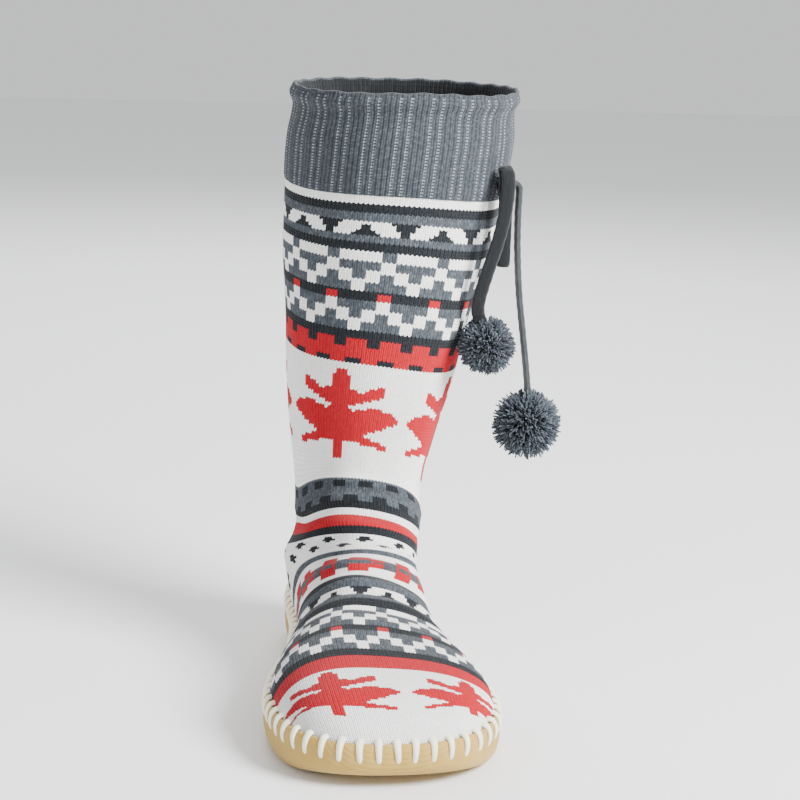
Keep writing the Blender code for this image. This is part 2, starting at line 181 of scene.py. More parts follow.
lastSections = {  # frontY, frontZ, backY, backZ, ridgeX, halfIn, halfOut, endAngle, fullness
    "collar": (-76, 298.6, 48, 298.6, 19, 58, 58, 180, 2),
    "cuffBase": (-75, 250.6, 46.5, 250.6, 14.5, 56, 56, 180, 2),
    "shaftTop": (-74.9, 249.4, 46.5, 249.4, 14.4, 56, 56, 180, 2),
    "calf": (-72.5, 215, 43.5, 215, 11.2, 52.8, 52.8, 180, 2),
    "shin": (-68, 180, 39, 180, 7.6, 47.8, 47.8, 180, 2),
    "leg": (-63.5, 146, 33, 145, 4.2, 42.8, 42.8, 180, 2),
    "ankleTop": (-60.5, 121, 27.5, 113, 1.8, 37.2, 37.2, 180, 2),
    "ankle": (-60.8, 107.5, 25.2, 90, 0.5, 33.8, 33.8, 180, 2),
    "ankleLow": (-62.6, 99, 26.4, 70, 0, 32.6, 32.6, 180, 2.05),
    "heelBulge": (-65.3, 93.5, 30.6, 52, 0, 32.7, 32.7, 180, 2.1),
    "heelBack": (-69, 89, 33.5, 33, 0, 32.8, 32.8, 180, 2.1),
    "heelA": (-73, 85.5, 30.2, 31.2, 0, 32.8, 32.8, 152, 2.1),
    "heelB": (-77.5, 82.3, 20.5, 29, -0.3, 32.6, 33.2, 129, 2.1),
    "heelSide": (-84, 78.2, 3, 26.8, -1.5, 31.5, 34.2, 109, 2.1),
    "arch": (-98, 71.5, -45, 24.4, -4.5, 29.3, 37, 105, 2.05),
    "instep": (-117, 63.8, -83, 23.4, -9.5, 29.2, 42, 98, 1.95),
    "ball": (-143, 55.6, -130, 22.4, -14, 37.5, 57, 92, 1.95),
    "toeRoot": (-162, 50.6, -153, 22, -14.5, 40.5, 63.5, 90, 2),
    "toeA": (-180, 46.2, -170, 21.8, -13.5, 0, 0, 86, 2.1),
    "toeB": (-195, 41.6, -183, 21.6, -12, 0, 0, 78, 2.15),
    "toeC": (-207, 35.2, -192, 21.4, -10, 0, 0, 69, 2.3),
    "toeD": (-215, 28.6, -197.5, 21.3, -8, 0, 0, 58, 2.4),
    "toeTip": (-218.6, 21.3, -200, 21.3, -6, 0, 0, 48.7, 2.5),
}
toeShape = {"centreX": -6.0, "halfIn": 49.0, "halfOut": 55.0, "fullness": 2.5}
lastSet = {"rowsPerSpan": 10, "samples": 90, "evenness": 2.0, "tuckAngle": 24.0,
           "halfStitches": 72, "footStitch": 1.85, "turnSpans": 4.0}


def signedPower(value, exponent):
    return np.sign(value) * np.abs(value) ** exponent


def travelAlong(line):   # how far along a line each of its points lies
    return np.concatenate([[0.0], np.cumsum(np.linalg.norm(np.diff(line, axis=0), axis=1))])


def pointsAt(spots, travel, line):
    return np.stack([np.interp(spots, travel, line[:, axis]) for axis in range(3)], axis=1)


def unit(vectors):
    return vectors / np.maximum(np.linalg.norm(vectors, axis=-1, keepdims=True), 1e-9)


def ease(value, low, high):   # 0 below low, 1 above high, and smooth between
    t = np.clip((value - low) / (high - low), 0.0, 1.0)
    return t * t * (3.0 - 2.0 * t)


def fillToe(table):   # half widths ahead of the toe's root follow the toe's outline
    rootY = lastSections["toeRoot"][2]
    tipY = lastSections["toeTip"][0]
    fullness = toeShape["fullness"]
    for row in table:
        if row[2] < rootY:
            ahead = (rootY - row[2]) / (rootY - tipY)
            share = (1.0 - ahead**fullness) ** (1.0 / fullness)
            end = math.sin(math.radians(row[7])) ** (2.0 / row[8])
            row[5] = (row[4] - toeShape["centreX"] + toeShape["halfIn"] * share) / end
            row[6] = (toeShape["centreX"] - row[4] + toeShape["halfOut"] * share) / end
    return table


def smoothRows(steps):
    table = fillToe(np.array(list(lastSections.values()), float))
    middle = (table[:, 0:2] + table[:, 2:4]) / 2
    travel = np.linalg.norm(np.diff(middle, axis=0), axis=1) + lastSet["evenness"]
    slope = np.diff(table, axis=0) / travel[:, None]
    tangent = np.empty_like(table)
    tangent[0], tangent[-1] = slope[0], slope[-1]
    before, after = travel[:-1, None], travel[1:, None]
    tangent[1:-1] = (slope[:-1] * after + slope[1:] * before) / (before + after)
    rows = []
    for i, span in enumerate(travel):
        for t in np.arange(steps) / steps:
            rows.append((2 * t**3 - 3 * t**2 + 1) * table[i]
                        + (t**3 - 2 * t**2 + t) * span * tangent[i]
                        + (3 * t**2 - 2 * t**3) * table[i + 1]
                        + (t**3 - t**2) * span * tangent[i + 1])
    rows.append(table[-1])
    return np.array(rows)


def sectionLine(row, angles):
    frontY, frontZ, backY, backZ, ridgeX, halfIn, halfOut, endAngle, fullness = row
    bend = 2.0 / fullness
    depth = 1.0 - signedPower(math.cos(math.radians(endAngle)), bend)
    share = (1.0 - signedPower(np.cos(angles), bend)) / depth
    half = np.where(angles < 0, halfIn, halfOut)
    return np.stack([ridgeX + half * signedPower(np.sin(angles), bend),
                     frontY + (backY - frontY) * share,
                     frontZ + (backZ - frontZ) * share], axis=-1)


lastRows = smoothRows(lastSet["rowsPerSpan"])
closedCount = 1 + list(lastSections).index("heelBack") * lastSet["rowsPerSpan"]
tipDrops = [2.0, 4.0, 6.0]   # rows that carry the toe's edge down inside the sole


def lastSurface(reachPast):
    # points of the last on its rows, and a little past the lower edge
    half = lastSet["samples"]
    shares = np.linspace(-1.0, 1.0, 2 * half + 1)
    sheet = []
    for row in lastRows:
        reach = min(180.0, row[7] + reachPast)
        sheet.append(sectionLine(row, shares * math.radians(reach)))
    for drop in tipDrops:
        sheet.append(sheet[len(lastRows) - 1] - np.array([0.0, 0.0, drop]))
    return np.array(sheet)


def outwardNormals(sheet, closed):
    along = np.gradient(sheet, axis=0)
    across = np.gradient(sheet, axis=1)
    wrap = sheet[:closed, 1] - sheet[:closed, -2]
    across[:closed, 0] = wrap
    across[:closed, -1] = wrap
    return unit(np.cross(along, across))


# how far down the knit each point of the last lies: bands run level round the shaft, dip round the
# ankle, run back level over the heel pocket and stand upright round the foot

bandGuides = [  # y, z and millimetres of knit below the cuff
    (-76, 298.6, -50), (-75, 250, 0), (-72.8, 218, 32), (-68, 180.4, 70), (-64, 150.5, 100),
    (-60.7, 123, 128), (-60.9, 106, 145), (-65.5, 93, 160), (-73.5, 85.1, 170), (-84, 78.2, 182),
    (48, 298.6, -50), (46.5, 250, 0), (43.8, 218, 32), (39, 180, 70), (33.8, 150, 98),
    (28.5, 120, 124), (25.2, 103, 138), (25.5, 90, 147), (27, 68, 163), (29, 57, 171),
    (30.5, 49, 178), (33.5, 33, 191), (-14, 298.6, -50), (-14, 250, 0), (-14, 218, 32),
    (-15, 180.2, 70), (-15, 150, 99.5), (-16, 119, 126), (-22, 103, 136), (-28, 85, 147),
    (0, 84, 147), (-26, 71.5, 163), (0, 66, 163), (-24, 55, 177.5), (-8, 42, 178), (10, 44, 178),
    (3, 27, 188), (18, 29, 190), (-16, 27, 183.5), (-60, 47, 197), (-97, 45, 217.5),
]
footDepths = {"arch": 198, "instep": 218.7, "ball": 246, "toeRoot": 265.6, "toeA": 284.2,
              "toeB": 299.8, "toeC": 313.5, "toeD": 323.7, "toeTip": 332}
for name, depth in footDepths.items():   # round the foot a band follows the last's own section
    frontY, frontZ, backY, backZ = lastSections[name][:4]
    bandGuides += [(frontY, frontZ, depth), (backY, backZ, depth)]
bandLean = [   # height, and how far the bands lean down towards the outer side
    (30, 0.0), (52, 0.08), (70, 0.15), (150, 0.13), (220, 0.09), (250, 0.04), (265, 0.0),
    (300, 0.0),
]
bandSlack = 20.0   # how freely the bands pass beside their guides


def plateSum(distance):
    return np.where(distance > 1e-9, distance**2 * np.log(np.maximum(distance, 1e-9)), 0.0)


def fitBands(guides):
    table = np.array(guides, float)
    spots, depths = table[:, :2], table[:, 2]
    count = len(spots)
    gap = np.linalg.norm(spots[:, None] - spots[None], axis=2)
    flat = np.hstack([np.ones((count, 1)), spots])
    system = np.zeros((count + 3, count + 3))
    system[:count, :count] = plateSum(gap) + np.eye(count) * bandSlack
    system[:count, count:] = flat
    system[count:, :count] = flat.T
    return spots, np.linalg.solve(system, np.concatenate([depths, [0.0, 0.0, 0.0]]))


bandFit = fitBands(bandGuides)


def bandDepth(points, ridgeX):
    spots, weights = bandFit
    flatPoints = points.reshape(-1, 3)
    gap = np.linalg.norm(flatPoints[:, None, 1:] - spots[None], axis=2)
    depth = plateSum(gap) @ weights[:-3] + weights[-3] + flatPoints[:, 1:] @ weights[-2:]
    heights, leans = zip(*bandLean)
    lean = np.interp(flatPoints[:, 2], heights, leans)
    return (depth - lean * (flatPoints[:, 0] - ridgeX.reshape(-1))).reshape(points.shape[:-1])


def waleSheet():
    # the last's surface again, with its columns on quarters of a stitch
    sheet = lastSurface(lastSet["tuckAngle"])
    middle, half = lastSet["samples"], lastSet["halfStitches"]
    quarters = np.arange(-4 * half, 4 * half + 1) / 4.0
    wales = np.full((len(sheet), len(quarters), 3), np.nan)
    for j, line in enumerate(sheet):
        travel = travelAlong(line)
        travel -= travel[middle]
        if j < closedCount:
            inner, outer = -travel[0] / half, travel[-1] / half
            heelStitch = (inner + outer) / 2
        else:   # stitches turn to the foot's own width over a few spans
            turning = lastSet["turnSpans"] * lastSet["rowsPerSpan"]
            share = min(1.0, (j - closedCount) / turning)
            inner = outer = heelStitch + (lastSet["footStitch"] - heelStitch) * share
        stitches = np.where(travel < 0, travel / inner, travel / outer)
        inside = (quarters >= stitches[0] - 1e-6) & (quarters <= stitches[-1] + 1e-6)
        wales[j, inside] = pointsAt(quarters[inside], stitches, line)
    return quarters, wales


quarters, wales = waleSheet()
waleNormals = outwardNormals(wales, closedCount)
ridgeLine = np.concatenate([lastRows[:, 4], [lastRows[-1, 4]] * len(tipDrops)])
waleDepth = bandDepth(np.nan_to_num(wales), np.repeat(ridgeLine[:, None], len(quarters), axis=1))
print("last and bands laid out")


# the knitting chart: each line is one row and repeats round

yarnColours = {   # white, grey, near black and red, then the cuff's ground, ladders and inside; the inside is near black as painted shade under the lip
    "w": rgb(250, 249, 246), "g": rgb(62, 69, 76), "k": rgb(15, 21, 27), "r": rgb(180, 0, 24),
    "c": rgb(56, 63, 70), "p": rgb(122, 131, 138), "d": rgb(20, 23, 27),
}
lozenges = (["wwwwwkkkkkkwwwww"] + ["kwwwwwkkkkwwwwwk"] * 2
            + ["kkwwwwwkkwwwwwkk", "kkkwwwwkkwwwwkkk"])
bars = ["gggwwwwwwwww"] * 3
zigzag = (["wwwggggggggg"] * 3 + ["wwwwwwgggwww"] + ["gggwwwgggwww"] * 2 + ["gggwwwwwwwww"]
          + ["ggggggwwwggg"] * 3)
dots = ["k"] + ["rrrkkkkkkkkk"] * 3
battlement = ["rrrrrkkk"] * 3 + ["r"] * 4 + ["kkkkrrrr"] * 2
ankleBand = ["g"] + ["kkkkgggg"] * 3 + ["g"] * 4 + ["ggggkkkk"] * 3 + ["k"] * 3
flecks = (["w"] + ["wwkkkwwwwwww", "wkkkkkwwwwww", "wwkkwwwwwwww"] + ["w"]
          + ["wwwwwwwwkkkw", "wwwwwwwkkkkk", "wwwwwwwwkkww"] + ["w"] * 2)
blockEdge = (["rrrrrrwwwwwwwwwwwwwwwwww"] + ["rrrrrrwwwwrrrrrrwwwwwwww"] * 2
             + ["rrrrrrggggrrrrrrrrrrgggg"] * 2 + ["rggggrggggggggggrrrrgggg"])
blocks = blockEdge + ["rggggrgggggggggggggggggg"] + blockEdge[::-1]
leafHalf = (   # right half of a maple leaf, from its middle column outwards
    "## ## ### ### ### ###.......## ###.....#### #####..##### ############ ########### "
    "######### ####### ##### ###.....#### ####.########## ################ "
    "################# ################# ################ ############## ############# "
    "########### ######### ######## ########## ############# ##.....######## "
    "##..........### ## ## ## ##").split()
leaf = [(half[:0:-1] + half).replace("#", "r").replace(".", "w") + "www"
        for half in (line.ljust(17, ".") for line in leafHalf)]
bands = [   # length down the front in mm, rows, and the wale where a repeat starts
    (5.0, "wwww", 0), (4.5, "kkk", 0), (4.5, "ggg", 0), (7.0, lozenges, -8), (3.5, "gg", 0),
    (4.5, "kkk", 0), (5.0, bars, -4), (15.5, zigzag, -4), (5.0, dots, -4), (15.5, zigzag, -4),
    (4.5, "kkk", 0), (13.0, battlement, -2), (3.5, "www", 0), (46.5, leaf, -27), (9.5, "wwwwww", 0),
    (16.0, ankleBand, -3), (4.0, "wwww", 0), (6.5, "rrrrr", 0), (4.0, "kkk", 0), (10.5, flecks, -5),
    (2.5, "gg", 0), (2.0, "ww", 0), (13.0, blocks, -15), (3.0, "www", 0), (4.0, "kkk", 0),
    (5.0, "gggg", 0), (5.5, lozenges, -8), (4.0, "ggg", 0), (5.0, "kkk", 0), (4.0, bars, -7),
    (14.0, zigzag, -7), (4.5, dots, -7), (16.0, zigzag, -7), (6.0, "kkk", 0), (10.5, "rrrrrrrr", 0),
    (1.5, "w", 0), (31.0, leaf, -27), (22.0, "w" * 18, 0),
]
heelPocket = {"depth": 177.8, "backOf": -15.0}   # plain white knit behind the gusset


def readChart():
    edges, colours = [0.0], []
    half = lastSet["halfStitches"]
    for length, rows, start in bands:
        for line in rows:
            edges.append(edges[-1] + length / len(rows))
            colours.append([line[(wale - start) % len(line)] for wale in range(-half, half)])
    return np.array(edges), colours


# soft creases

creaseSet = {"strength": 1.75, "deepest": 2.0, "waves": 0.35, "wavesFrom": -10, "wavesOver": 60.0,
             "turns": ((0.093, 0.13), (0.041, -0.087))}   # per mm of knit and per wale
creases = [   # mm of knit, wale, half length in mm, half width in wales, rise, slant per wale
    (150, 6, 3.2, 20, 1, 0.10), (158, -10, 3, 18, 0.7, -0.05), (165.5, 12, 2.4, 16, -1.4, 0.12),
    (164, -16, 2.6, 12, -0.9, -0.12), (172, 2, 3, 22, 0.9, 0.05), (181, -6, 2.8, 20, -1.2, 0.06),
    (187, 14, 3.2, 14, 0.9, 0.15), (192.5, 4, 2.6, 18, -0.9, 0.10), (199, -8, 3.6, 16, 0.7, -0.08),
    (207, 10, 2.6, 16, -1.1, 0.12), (213.5, 6, 3, 18, 0.8, 0.10), (221, -2, 2.6, 18, -0.8, 0.05),
    (227, 14, 3, 12, 0.7, 0.15), (234, 2, 3, 16, -0.7, 0.08), (246, 10, 4, 14, 0.5, 0.12),
    (181, -34, 6.5, 13, 3.4, 0), (166, -34, 5, 12, -1.2, 0), (186, 33, 16, 12, -2.4, 0),
    (262, -18, 9, 8, 0.5, 0), (120, 58, 9, 10, -1, 0), (96, -56, 12, 9, 0.8, 0.1),
    (134, -60, 6, 12, 0.9, 0.2), (142, 52, 4, 16, -1, -0.2), (60, 30, 16, 7, -0.6, 0.2),
    (78, -34, 18, 8, -0.6, -0.2), (32, -14, 16, 9, 0.4, 0.2), (110, 26, 14, 7, -0.6, 0.3),
]


def creaseRise(depth, wale):
    rise = np.zeros_like(depth)
    for spot, middle, length, width, height, slant in creases:
        off = (depth - spot - slant * (wale - middle)) / length
        bump = np.exp(-off**2 - ((wale - middle) / width) ** 2)
        rise += creaseSet["strength"] * height * bump
    first, second = (np.sin(depth * down + wale * across) for down, across in creaseSet["turns"])
    fade = np.clip((depth - creaseSet["wavesFrom"]) / creaseSet["wavesOver"], 0.0, 1.0)
    rise += creaseSet["waves"] * (first * second) * fade
    deepest = creaseSet["deepest"]   # so that no trough reaches the lining
    return np.where(rise < 0, deepest * np.tanh(rise / deepest), rise)


def layRows(depths, slant):
    # places and normals where each quarter wale crosses each row, with a V in every stitch
    count = len(depths)
    heights = np.gradient(depths)
    places = np.full((count, len(quarters), 3), np.nan)
    normals = np.full((count, len(quarters), 3), np.nan)
    lag = (-slant, 0.0, slant, 0.0)
    for k in range(len(quarters)):
        known = ~np.isnan(wales[:, k, 0])
        if known.sum() < 3:
            continue
        down = np.maximum.accumulate(waleDepth[known, k]) + np.arange(known.sum()) * 1e-4
        wanted = depths + lag[k % 4] * heights
        wanted = np.where(np.abs(wanted - down[0]) < 1.0, np.maximum(wanted, down[0]), wanted)
        inside = (wanted >= down[0]) & (wanted <= down[-1])
        places[inside, k] = pointsAt(wanted[inside], down, wales[known, k])
        normals[inside, k] = pointsAt(wanted[inside], down, waleNormals[known, k])
    return places, unit(normals)


def makePiece(name, points, faces, material=None, smooth=True):
    mesh = bpy.data.meshes.new(name)
    mesh.from_pydata([tuple(p) for p in np.asarray(points) * mm], [], faces)
    if smooth:
        mesh.shade_smooth()
    if material:
        mesh.materials.append(material)
    piece = bpy.data.objects.new(name, mesh)
    bpy.context.scene.collection.objects.link(piece)
    return piece


def setValues(piece, name, values):   # one number for each point
    layer = piece.data.attributes.new(name, "FLOAT", "POINT")
    layer.data.foreach_set("value", values.astype(np.float32))


def gridPiece(name, places, material, faceColours=None):
    # a sheet of quads over the known places, closed round the back, with its own flat map
    rows, columns = places.shape[:2]
    known = ~np.isnan(places[:, :, 0])
    index = np.full((rows, columns), -1)
    index[known] = np.arange(known.sum())
    for r in range(rows):
        if known[r, 0] and known[r, -1] and np.linalg.norm(places[r, 0] - places[r, -1]) < 0.02:
            index[r, -1] = index[r, 0]
    corner = np.stack([index[:-1, :-1], index[1:, :-1], index[1:, 1:], index[:-1, 1:]], axis=2)
    keep = (corner >= 0).all(axis=2)
    quadR, quadC = np.nonzero(keep)
    piece = makePiece(name, places[known], corner[keep].tolist(), material)
    mesh = piece.data
    flat = mesh.uv_layers.new(name="OFBake")
    u = np.stack([quadC, quadC, quadC + 1, quadC + 1], axis=1) / (columns - 1)
    v = 1.0 - np.stack([quadR, quadR + 1, quadR + 1, quadR], axis=1) / (rows - 1)
    flat.data.foreach_set("uv", np.stack([u, v], axis=2).ravel().astype(np.float32))
    if faceColours is not None:
        yarn = mesh.attributes.new("yarn", "FLOAT_COLOR", "FACE")
        chosen = faceColours[quadR, quadC]
        chosen = np.hstack([chosen, np.ones((len(chosen), 1))])
        yarn.data.foreach_set("color", chosen.ravel().astype(np.float32))
    mesh.validate()
    return piece


# dark, loft and valley also set painted shade: yarn darker between legs and between rows
yarnSet = {"fibreScale": 900.0, "soilScale": 28.0, "dark": 0.72, "loft": 0.28, "fibre": 0.14,
           "fleck": 0.12, "heather": 0.75, "pale": rgb(240, 242, 242), "depth": 0.34,
           "legRound": 0.6, "rowRound": 0.5, "valley": 0.35, "fuzz": 0.25}


def knitFinish(name, rows, wear):
    # two legs of yarn in every stitch, painted darker towards the edges of each leg and between
    # rows as painted shade; the more blue a yarn is, the more pale flecks it has
    cloth = Finish(name, 0.88, sheen=0.12)
    across, down = cloth.flatMap()
    legs, courses = across * (4.0 * lastSet["halfStitches"]), down * float(rows)
    fibre = cloth.noise(yarnSet["fibreScale"], 3.0, stretch=(1.0, 1.0, 0.6))
    valley = yarnSet["valley"]
    course = valley + (1.0 - valley) * courses.arch() ** yarnSet["rowRound"]
    loft = legs.arch() ** yarnSet["legRound"] * course + yarnSet["fuzz"] * fibre
    soil = cloth.noise(yarnSet["soilScale"], 3.0)
    leg = cloth.node("CombineXYZ", None, {0: legs.floor(), 1: courses.floor()})
    fleck = cloth.node("TexWhiteNoise", {"noise_dimensions": "2D"}, {"Vector": leg})
    # painted shade: the loft profile darkens the colour between legs and rows
    tone = (yarnSet["dark"] + yarnSet["loft"] * loft + wear * (soil - 0.5)
            + yarnSet["fibre"] * (fibre - 0.5) + yarnSet["fleck"] * (fleck - 0.5))
    yarn = cloth.attribute("yarn", "Color")
    blue = cloth.node("SeparateColor", None, {0: yarn}, out=2)
    heather = cloth.blend(fleck ** 2.0 * (yarnSet["heather"] * blue), yarn, yarnSet["pale"])
    return cloth.finish(cloth.shade(heather, tone), loft, yarnSet["depth"])


knitSet = {"slant": 0.28, "relief": (-0.30, 0.26, -0.04, 0.26), "splitDepth": 163.0,
           "startDepth": -1.2, "tuck": 1.2, "clear": 1.0, "wear": 0.10}


def knitColours(edges, chart, firstRow, lastRow, places):
    table = np.array([[yarnColours[letter] for letter in row] for row in chart[firstRow:lastRow]])
    wide = np.repeat(table, 4, axis=1)
    depths = edges[firstRow:lastRow]
    behind = (depths[:, None] > heelPocket["depth"]) & (places[:-1, :-1, 1] > heelPocket["backOf"])
    wide[behind] = yarnColours["w"]
    return wide


def makeKnit(settings):
    edges, chart = readChart()
    split = int(np.argmin(np.abs(edges - settings["splitDepth"])))
    relief = np.array(settings["relief"])[np.arange(len(quarters)) % 4]
    made = []
    for name, first, last in (("knitShaft", 0, split), ("knitFoot", split, len(chart))):
        depths = edges[first:last + 1].copy()
        if first == 0:
            depths[0] = settings["startDepth"]
        places, normals = layRows(depths, settings["slant"])
        allDepths = np.repeat(depths[:, None], len(quarters), axis=1)
        rise = relief[None] + creaseRise(allDepths, quarters[None])
        raised = tuckIn(places + normals * rise[:, :, None], settings["tuck"], settings["clear"])
        made.append(gridPiece(name, raised, knitFinish(name, last - first, settings["wear"]),
                              knitColours(edges, chart, first, last, places)))
    return made


cuffSet = {"height": 50.0, "row": 0.78, "lift": 1.0, "rib": 0.75, "wear": 0.16,
           "legs": (-0.55, 0.30, 0.10, 0.30), "stitches": (0.1, 0.0, -0.25, -0.3, -0.25, 0.0),
           "bulge": (1.9, 46.3, 3.3), "waist": (0.5, 36.0, 9.0),   # how much, height, spread
           "drawnIn": (1.7, 26.0, 44.0), "foot": (0.5, -2.5, 0.5),   # how much, from, to
           "sway": (0.5, 0.21, 0.05, 0.09), "wave": (0.3, 0.15, 0.31),
           "waveFade": (0.8, 0.5, 0.3, 0.1)}
lipRows = [   # out, up, share of the ribs
    (-3.2, -9.0, 0.4), (-3.1, -6.0, 0.4), (-2.9, -3.0, 0.4), (-2.5, -1.0, 0.4), (-2.1, 0.5, 0.3),
    (-1.5, 1.3, 0.3), (-0.8, 1.5, 0.4), (-0.2, 1.0, 0.5),
]
# the groove factors darken the grooves between ribs as painted shade
ladderSet = {"left": (1, 3), "right": (2, 4), "grooveShade": 0.80, "ladder": 0.85,
             "inside": 4, "from": 9}   # rows inside the lip, painted near black as painted shade, and the first row with a dash


def makeCuff(settings):
    # ribbed cuff with pale ladder lines, and a thick lip that rolls over the top edge
    depths = np.arange(-settings["height"], 0.9, settings["row"])
    places, normals = layRows(depths, 0.0)
    spots = np.arange(len(quarters))
    ribStitches = len(settings["stitches"])
    stitch = (spots // 4) % ribStitches
    rib = np.array(settings["legs"])[spots % 4] + np.array(settings["stitches"])[stitch]
    bulge, waist = (most * np.exp(-((depths + height) / spread) ** 2)
                    for most, height, spread in (settings["bulge"], settings["waist"]))
    drawn, above, below = settings["drawnIn"]
    foot, low, high = settings["foot"]
    swell = (bulge - drawn * ease(-depths, above, below) - waist
             - foot * np.clip((depths - low) / (high - low), 0.0, 1.0))
    most, across, down, slow = settings["sway"]
    rows = depths[:, None]
    sway = most * np.sin(quarters[None] * across + rows * down) * np.sin(rows * slow)
    rise = settings["lift"] + settings["rib"] * rib[None] + swell[:, None] + sway
    outer = places + normals * rise[:, :, None]
    level = unit(normals[0] * np.array([1.0, 1.0, 0.0]))
    short, long, turn = settings["wave"]   # the lip is a little wavy
    wave = (short * np.cos(spots * math.pi / (2 * ribStitches))
            + long * np.sin(quarters * turn + 1.0))
    lip = []
    for out, up, share in lipRows:
        lift = np.zeros((len(quarters), 3))
        lift[:, 2] = up + wave * np.clip(up + 3.0, 0.0, 3.0) / 3.0
        lip.append(places[0] + level * (out + rib * share)[:, None] + lift)
    sheet = np.concatenate([np.array(lip), outer])
    fade = np.array(settings["waveFade"])[:, None]
    sheet[len(lip):len(lip) + len(fade), :, 2] += wave[None] * fade
    return gridPiece("knitCuff", sheet, knitFinish("knitCuff", len(sheet) - 1, settings["wear"]),
                     cuffColours(ladderSet, len(sheet) - 1, spots[:-1] % 4, stitch[:-1]))


def cuffColours(settings, rows, quarter, stitch):
    # the grooves between ribs are painted darker as painted shade, and some carry a ladder of pale
    # dashes
    colours = np.empty((rows, len(stitch), 3))
    colours[:] = yarnColours["c"]
    # the rows inside the lip are painted near black: painted shade inside the collar
    colours[:settings["inside"]] = yarnColours["d"]
    leftOf, rightOf = quarter == 3, quarter == 0
    ladder = leftOf & np.isin(stitch, settings["left"])
    ladder |= rightOf & np.isin(stitch, settings["right"])
    # painted shade: the grooves are darker, and so are the ladder columns between their pale dashes
    colours[:, (leftOf | rightOf) & ~ladder] *= settings["grooveShade"]
    colours[:, ladder] *= settings["ladder"]
    colours[settings["from"]::2, ladder] = yarnColours["p"]
    return colours


# the second of the tones is painted shade between the lining's ribs
liningSet = {"reach": 16.0, "wall": 2.5, "topWall": 2.4, "topDrop": 5.0, "tuck": 2.2, "clear": -1.2,
             "colour": rgb(52, 55, 60), "ribs": 72.0, "pile": 420.0, "depth": 0.5,
             "tones": (0.7, 0.35, 0.3)}


def makeLining(settings):
    sheet = lastSurface(settings["reach"])[::3]
    normals = outwardNormals(sheet, (closedCount + 2) // 3)
    places = sheet - normals * settings["wall"]
    places[0] = sheet[0] - normals[0] * settings["topWall"]
    places[0, :, 2] -= settings["topDrop"]
    inside = tuckIn(places, settings["tuck"], settings["clear"])[:, ::2][:, ::-1]
    cloth = Finish("lining", 0.95, sheen=0.3)
    ribs = (cloth.flatMap()[0] * settings["ribs"]).arch()
    pile = cloth.noise(settings["pile"], 4.0)
    dark, ribShade, mottled = settings["tones"]
    # painted shade: darker between the ribs, lighter on their crests
    tone = dark + ribShade * ribs * pile + mottled * (pile - 0.5)
    colour = cloth.shade(settings["colour"], tone)
    material = cloth.finish(colour, ribs * 0.6 + pile * 0.7, settings["depth"])
    return gridPiece("lining", inside, material)


# the edge where knit and sole meet

edgeSet = {"stitches": 74, "perStitch": 6, "tuckStart": -2.0, "tuckDone": 5.0,
           "waistLift": 2.5, "waistRises": (34.0, 66.0), "waistFalls": (88.0, 120.0),
           "toeSpring": 6.5, "toeRises": (180.0, 226.0)}


def groundHeight(y):
    waist = ease(-y, *edgeSet["waistRises"]) * (1.0 - ease(-y, *edgeSet["waistFalls"]))
    toe = ease(-y, *edgeSet["toeRises"])
    return edgeSet["waistLift"] * waist + edgeSet["toeSpring"] * toe


def edgeRing(count):
    # evenly spaced points round the lower edge: heel, inner side, toe, outer side
    ends = np.radians(lastRows[:, 7])
    first = closedCount - 1
    inner, outer = ([sectionLine(lastRows[j], np.array([side * ends[j]]))[0]
                     for j in range(start, len(lastRows) - 1)]
                    for side, start in ((-1, first), (1, first + 1)))
    tip = sectionLine(lastRows[-1], np.linspace(-ends[-1], ends[-1], 97))
    ring = np.array(inner + list(tip) + outer[::-1] + inner[:1])
    travel = travelAlong(ring)
    return pointsAt(np.linspace(0.0, travel[-1], count, endpoint=False), travel, ring)


def planNormals(ring):
    tangent = np.roll(ring, -2, axis=0) - np.roll(ring, 2, axis=0)
    normals = unit(np.stack([tangent[:, 1], -tangent[:, 0], np.zeros(len(ring))], axis=1))
    return normals if np.sum(normals * (ring - ring.mean(axis=0))) > 0 else -normals


edge = edgeRing(edgeSet["stitches"] * edgeSet["perStitch"])
edgeOut = planNormals(edge)


def tuckIn(places, most, limit):
    # what hangs below the sole's top edge stands in a little, clear of the sole's wall
    points = places.reshape(-1, 3)
    low = np.nonzero(points[:, 2] < edge[:, 2].max())[0]
    apart = points[low, None, :2] - edge[None, :, :2]
    near = np.argmin(np.hypot(apart[:, :, 0], apart[:, :, 1]), axis=1)
    below = edge[near, 2] - points[low, 2]
    shift = most * ease(below, 0.0, edgeSet["tuckDone"])
    out = np.sum((points[low] - edge[near]) * edgeOut[near], axis=1) - shift
    shift += np.maximum(0.0, out - limit) * (below > edgeSet["tuckStart"])
    points[low] -= edgeOut[near] * shift[:, None]
    return points.reshape(places.shape)


def outwardFaces(piece):
    work = bmesh.new()
    work.from_mesh(piece.data)
    bmesh.ops.recalc_face_normals(work, faces=work.faces)
    work.to_mesh(piece.data)
    work.free()
    return piece


def ringQuads(a, b, count):   # quads between two rings whose points start at a and b
    return [(a + k, a + (k + 1) % count, b + (k + 1) % count, b + k) for k in range(count)]


tuckRings = [   # out, up
    (-1.3, -5.0), (-0.6, -1.2), (-0.45, 0.1), (-0.1, -0.6), (0.1, -3.0), (-0.2, -6.5)]


def makeTuck():
    # plain band just inside the sole's top edge, where the knit turns under
    count = len(edge)
    rings, faces = [], []
    for n, (out, up) in enumerate(tuckRings):
        rings.append(edge + edgeOut * out + np.array([0.0, 0.0, up]))
        faces += ringQuads(n * count, (n + 1) % len(tuckRings) * count, count)
    cloth = Finish("whiteTuck", 0.9)
    pile = cloth.noise(500.0)
    material = cloth.finish(cloth.shade(yarnColours["w"], 0.9 + 0.1 * pile))
    return outwardFaces(makePiece("knitTuck", np.vstack(rings), faces, material))


knitPieces = makeKnit(knitSet) + [makeCuff(cuffSet), makeLining(liningSet), makeTuck()]
for piece in knitPieces:
    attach(piece, body)
    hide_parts("upper")
    print(piece.name, len(piece.data.polygons), "faces")
